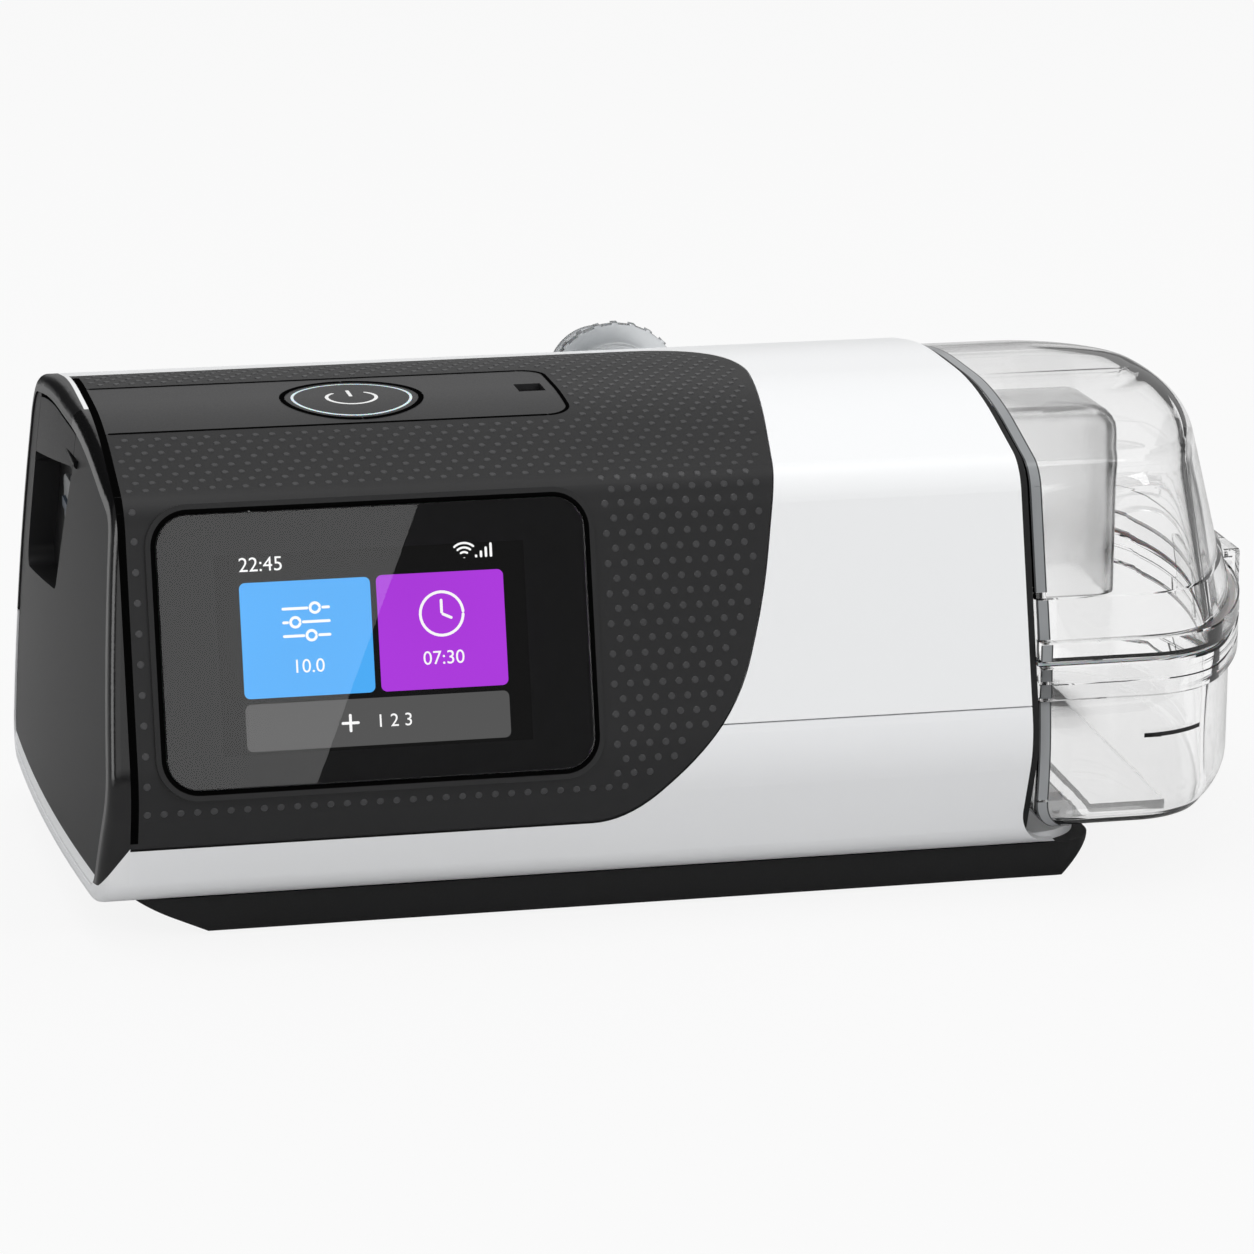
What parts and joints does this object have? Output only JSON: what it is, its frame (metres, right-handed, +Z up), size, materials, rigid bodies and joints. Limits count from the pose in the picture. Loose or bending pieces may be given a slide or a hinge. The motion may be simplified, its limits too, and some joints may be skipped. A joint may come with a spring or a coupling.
{
  "type": "cpap machine",
  "caption": "Bedside CPAP machine: front touch screen, top start button, side filter door and card slot, rear air outlet, and a clear hinged water tub that slides out.",
  "frame": {"origin": "under the middle of the bounding box, on the surface that the feet rest on", "axes": "+X towards the water tub, +Y towards the air outlet at the back, +Z up; the screen faces -Y"},
  "size_m": [0.2593, 0.1424, 0.0982],
  "materials": {
    "case_white": "satin white moulded plastic",
    "fascia_black": "matt black moulded plastic with a dot texture",
    "gloss_black": "gloss black plastic",
    "screen_glass": "dark printed cover glass",
    "lcd": "lit display panel",
    "clear_tub": "clear polycarbonate",
    "rubber_grey": "matt moulded rubber",
    "silicone": "translucent silicone",
    "steel": "brushed stainless steel",
    "aluminium": "machined aluminium",
    "brass": "plated brass",
    "board_green": "soldered circuit board",
    "inner_grey": "moulded engineering plastic",
    "filter_foam": "pleated filter fleece",
    "light_ring": "translucent light guide"
  },
  "bodies": {
    "case": {"upper_case": "case_white", "lower_case": "case_white", "base_pan": "fascia_black", "rubber_feet": "rubber_grey", "case_screws": "steel", "front_fascia": "fascia_black", "control_strip": "gloss_black", "light_sensor_window": "rubber_grey", "screen_glass": "screen_glass", "screen_gasket": "rubber_grey", "lcd_panel": "lcd", "display_board": "board_green", "control_board": "board_green", "main_board": "board_green", "end_rim": "gloss_black", "side_cover": "fascia_black", "filter_cover_pin": "steel", "air_filter": "filter_foam", "card_slot_bezel": "rubber_grey", "card_socket": "steel", "power_socket": "fascia_black", "power_contacts": "brass", "blower_lower": "inner_grey", "blower_upper": "inner_grey", "blower_motor": "steel", "motor_bearings": "steel", "blower_mounts": "silicone", "inlet_muffler": "inner_grey", "blower_duct": "silicone", "humid_air_duct": "silicone", "outlet_collar": "silicone", "dock_bulkhead": "fascia_black", "dock_seals": "silicone", "dock_tray": "fascia_black", "heater_pads": "silicone"},
    "button": {"start_button": "gloss_black", "button_light_ring": "light_ring"},
    "filter_door": {"filter_cover": "fascia_black"},
    "card": {"memory_card": "inner_grey"},
    "outlet": {"outlet_connector": "clear_tub"},
    "rotor": {"impeller": "inner_grey", "motor_shaft": "steel"},
    "heater": {"heater_plate": "aluminium"},
    "tub": {"tub_base": "clear_tub", "tub_heat_plate": "steel", "lid_hinge_pin": "steel"},
    "lid": {"tub_lid": "clear_tub", "tub_seal": "silicone", "tub_air_duct": "clear_tub"},
    "latch": {"tub_latch": "clear_tub"}
  },
  "joints": [
    {"name": "start_button_press", "type": "slide", "parent": "case", "child": "button", "axis": [0, 0, -1], "range_m": [0, 0.0008], "stiffness_N_per_m": 600, "springref_m": -0.0012},
    {"name": "filter_door_hinge", "type": "hinge", "parent": "case", "child": "filter_door", "pos_m": [-0.1208, 0.0115, 0.0885], "axis": [0, 1, 0], "range_deg": [0, 70]},
    {"name": "card_slide", "type": "slide", "parent": "case", "child": "card", "axis": [-1, 0, 0], "range_m": [0, 0.022]},
    {"name": "outlet_swivel", "type": "hinge", "parent": "case", "child": "outlet", "pos_m": [0.005, 0.06, 0.0826], "axis": [0, 1, 0], "continuous": true},
    {"name": "rotor_spin", "type": "hinge", "parent": "case", "child": "rotor", "pos_m": [-0.07, 0.002, 0.03], "axis": [0, 0, 1], "continuous": true},
    {"name": "heater_float", "type": "slide", "parent": "case", "child": "heater", "axis": [0, 0, -1], "range_m": [0, 0.001], "stiffness_N_per_m": 800, "springref_m": -0.001, "deforming": ["heater_pads"]},
    {"name": "tub_slide", "type": "slide", "parent": "case", "child": "tub", "axis": [1, 0, 0], "range_m": [0, 0.12]},
    {"name": "lid_hinge", "type": "hinge", "parent": "tub", "child": "lid", "pos_m": [0.0885, 0.0534, 0.0491], "axis": [-1, 0, 0], "range_deg": [0, 100]},
    {"name": "latch_pivot", "type": "hinge", "parent": "tub", "child": "latch", "pos_m": [0.1289, 0, 0.0426], "axis": [0, 1, 0], "range_deg": [0, 14]}
  ]
}
